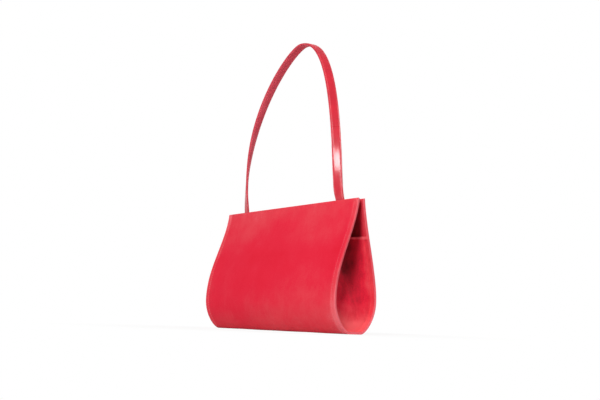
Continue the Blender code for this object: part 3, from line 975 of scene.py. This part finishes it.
def strap_stitches(name, sign, height_of):
    """Both rows of stitches on one side of the strap."""
    points, acrosses, outwards = (np.array([list(entry[i]) for entry in STRAP_LINE]) for i in range(3))
    feet = [entry[3] for entry in STRAP_LINE]
    lengths = [entry[4] for entry in STRAP_LINE]
    rows = []
    for edge in (-1, 1):
        row = []
        for length in steps_between(strap_seam_end, lengths[-1] - strap_seam_end, strap_stitch_pitch):
            at, across, outward = (value_along(values, lengths, length)
                                   for values in (points, acrosses, outwards))
            foot_distance = float(np.interp(length, lengths, feet))
            height = height_of(stitch_side, "face", foot_distance) + sign * strap_stitch_proud
            spot = at + across * edge * stitch_side * strap_width / 2 + outward * height
            row.append((spot, outward.cross(across).normalized(), outward * sign))
        rows.append(row)
    sew(name, rows, bend_with_strap)


def strap():
    """Outer and inner leather of the strap, and the rows of stitches on both."""
    strap_layer("strap_outer_leather", STRAP_LEATHER, outer_height,
                ("strap_outer", "strap_core", "left_strap_end"))
    strap_layer("strap_inner_leather", STRAP_BACKING, inner_height,
                ("strap_inner", "right_strap_end"))
    strap_stitches("strap_outer_stitches", 1, outer_height)
    strap_stitches("strap_inner_stitches", -1, inner_height)


# Snap: each profile is radii and heights, from the middle of the face round the rim to the seat
SOCKET_PROFILE = [(0, 0.0010), (0.0026, 0.0010), (0.0030, 0.0013), (0.0030, 0.0024), (0.0036, 0.0024),
                  (0.0042, 0.0021), (0.0048, 0.0021), (0.0054, 0.0024), (0.0064, 0.0023), (0.0069, 0.0019),
                  (0.0070, 0.0012), (0.0070, 0), (0, 0)]
STUD_PROFILE = [(0, 0.0025), (0.0018, 0.0025), (0.0024, 0.0023), (0.0025, 0.0019), (0.0025, 0.0014),
                (0.0034, 0.0014), (0.0040, 0.0012), (0.0052, 0.0012), (0.0058, 0.0014), (0.0065, 0.0013),
                (0.0070, 0.0009), (0.0070, 0), (0, 0)]


def turned(name, profile, side, body, node):
    """Turned metal piece on the inner face of the mouth."""
    bm = bmesh.new()
    verts = [bm.verts.new((x, 0, z)) for x, z in profile]
    edges = [bm.edges.new(pair) for pair in zip(verts, verts[1:])]
    bmesh.ops.spin(bm, geom=verts + edges, angle=2 * math.pi, steps=snap_steps, axis=(0, 0, 1),
                   cent=(0, 0, 0), use_merge=True)
    bmesh.ops.remove_doubles(bm, verts=bm.verts, dist=weld_distance)
    bmesh.ops.recalc_face_normals(bm, faces=bm.faces)
    arc = side * arc_at(snap_height)
    inward = -wall_normal(arc)
    turn = inward.to_track_quat("Z", "X").to_matrix().to_4x4()
    seat = wall(arc, suede_thickness + facing_thickness + snap_seat_gap)
    bm.transform(Matrix.Translation(seat) @ turn)
    piece = new_piece(name, bm, [SNAP_METAL], [rounded(snap_round, 2, 40)])
    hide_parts(node)
    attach(piece, body)


# Stage, light and camera
ambient = 0.045
floor_half_size = 6
floor_shadow_reach = (0.10, 0.32)
floor_white_shares = (0.90, 1.0)
lamp_aim = Vector((0.02, 0, 0.13))
camera_lens = 52.6
camera_turns = (52.61, 7.88, 2.006)
camera_place = Vector((0.8819, -0.6549, 0.0124))


def seen_share(tree):
    """1 for what the camera sees straight, in a gloss or through glass, and 0 for light on the bag."""
    path = tree.nodes.new("ShaderNodeLightPath").outputs
    share = path["Is Camera Ray"]
    for other in ("Is Glossy Ray", "Is Transmission Ray"):
        share = math_of(tree, "MAXIMUM", share, path[other])
    return share


def shown_white(tree, share, lit, white_kind, output_name):
    """Shows plain white by a share in place of the lit shader."""
    white = tree.nodes.new(white_kind)
    white.inputs["Color"].default_value = (1, 1, 1, 1)
    white.inputs["Strength"].default_value = 1.0
    mix = tree.nodes.new("ShaderNodeMixShader")
    tree.links.new(share, mix.inputs["Fac"])
    tree.links.new(lit.outputs[0], mix.inputs[1])
    tree.links.new(white.outputs[0], mix.inputs[2])
    tree.links.new(mix.outputs[0], tree.nodes[output_name].inputs["Surface"])


def stage():
    """Pale floor and white surroundings that keep the bag's shadow."""
    bm = bmesh.new()
    bmesh.ops.create_grid(bm, x_segments=1, y_segments=1, size=floor_half_size)
    material, tree, shader, coords = new_material("pale_floor", roughness=0.9, Specular_IOR_Level=0.0,
                                                  Base_Color=(0.86, 0.86, 0.86, 1))
    floor = new_piece("floor", bm, [material])
    distance = tree.nodes.new("ShaderNodeVectorMath")
    distance.operation = "LENGTH"
    tree.links.new(coords, distance.inputs[0])
    fade = range_of(tree, distance.outputs["Value"], floor_shadow_reach, floor_white_shares, "SMOOTHSTEP")
    share = math_of(tree, "MULTIPLY", seen_share(tree), fade)
    shown_white(tree, share, shader, "ShaderNodeEmission", "Material Output")

    world = bpy.data.worlds.new("studio")
    bpy.context.scene.world = world
    world.use_nodes = True
    tree = world.node_tree
    background = tree.nodes["Background"]
    background.inputs["Color"].default_value = (1, 1, 1, 1)
    background.inputs["Strength"].default_value = ambient
    shown_white(tree, seen_share(tree), background, "ShaderNodeBackground", "World Output")


def lamp(name, azimuth, elevation, distance, width, height, power):
    """Soft panel lamp that looks at the bag; azimuth turns from the front towards the right end."""
    data = bpy.data.lights.new(name, "AREA")
    data.shape = "RECTANGLE"
    data.size = width
    data.size_y = height
    data.energy = power
    lamp_object = bpy.data.objects.new(name, data)
    bpy.context.scene.collection.objects.link(lamp_object)
    a, e = math.radians(azimuth), math.radians(elevation)
    out = Vector((math.sin(a) * math.cos(e), -math.cos(a) * math.cos(e), math.sin(e)))
    lamp_object.location = lamp_aim + out * distance
    lamp_object.rotation_mode = "QUATERNION"
    lamp_object.rotation_quaternion = out.to_track_quat("Z", "Y")


def camera():
    """Camera where the photograph was taken from: low, near the right end, looking slightly up."""
    data = bpy.data.cameras.new("camera")
    data.lens = camera_lens
    data.sensor_width = 36
    data.clip_start = 0.01
    camera_object = bpy.data.objects.new("camera", data)
    bpy.context.scene.collection.objects.link(camera_object)
    yaw, pitch, roll = (math.radians(angle) for angle in camera_turns)
    forward = Vector((-math.sin(yaw) * math.cos(pitch), math.cos(yaw) * math.cos(pitch), math.sin(pitch)))
    right = Vector((math.cos(yaw), math.sin(yaw), 0))
    up = right.cross(forward)
    rolled_right = right * math.cos(roll) + up * math.sin(roll)
    rolled_up = up * math.cos(roll) - right * math.sin(roll)
    turn = Matrix((rolled_right, rolled_up, -forward)).transposed()
    camera_object.matrix_world = Matrix.Translation(camera_place) @ turn.to_4x4()
    bpy.context.scene.camera = camera_object


camera()
stage()
# Each lamp: azimuth, elevation, distance, width, height and power
lamp("key", 29.5, 30, 2.2, 0.60, 0.90, 40)
lamp("front_fill", -35, 20, 2.6, 1.8, 1.8, 5)
lamp("right_fill", 120, 14, 2.4, 1.2, 1.2, 13)
lamp("back_fill", 205, 25, 2.4, 1.6, 1.6, 24)
lamp("top_fill", 10, 80, 2.2, 1.6, 1.6, 6)
bpy.context.scene.view_settings.view_transform = "Standard"

outer_suede()
facings()
for sign, end in ENDS:
    gusset(sign, end)
    gusset_binding(sign, end)
linings()
inner_pocket()
strap()
turned("snap_socket_metal", SOCKET_PROFILE, 1, "bag", "snap_socket")
turned("snap_stud_metal", STUD_PROFILE, -1, "front", "snap_stud")

CARRIED_OVER = {"back_board": BOARD, "front_board": BOARD, "back_snap_washer": SNAP_METAL,
                "front_snap_washer": SNAP_METAL}
for node_name, node_material in CARRIED_OVER.items():
    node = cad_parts[node_name]
    node.data.materials.clear()
    node.data.materials.append(node_material)
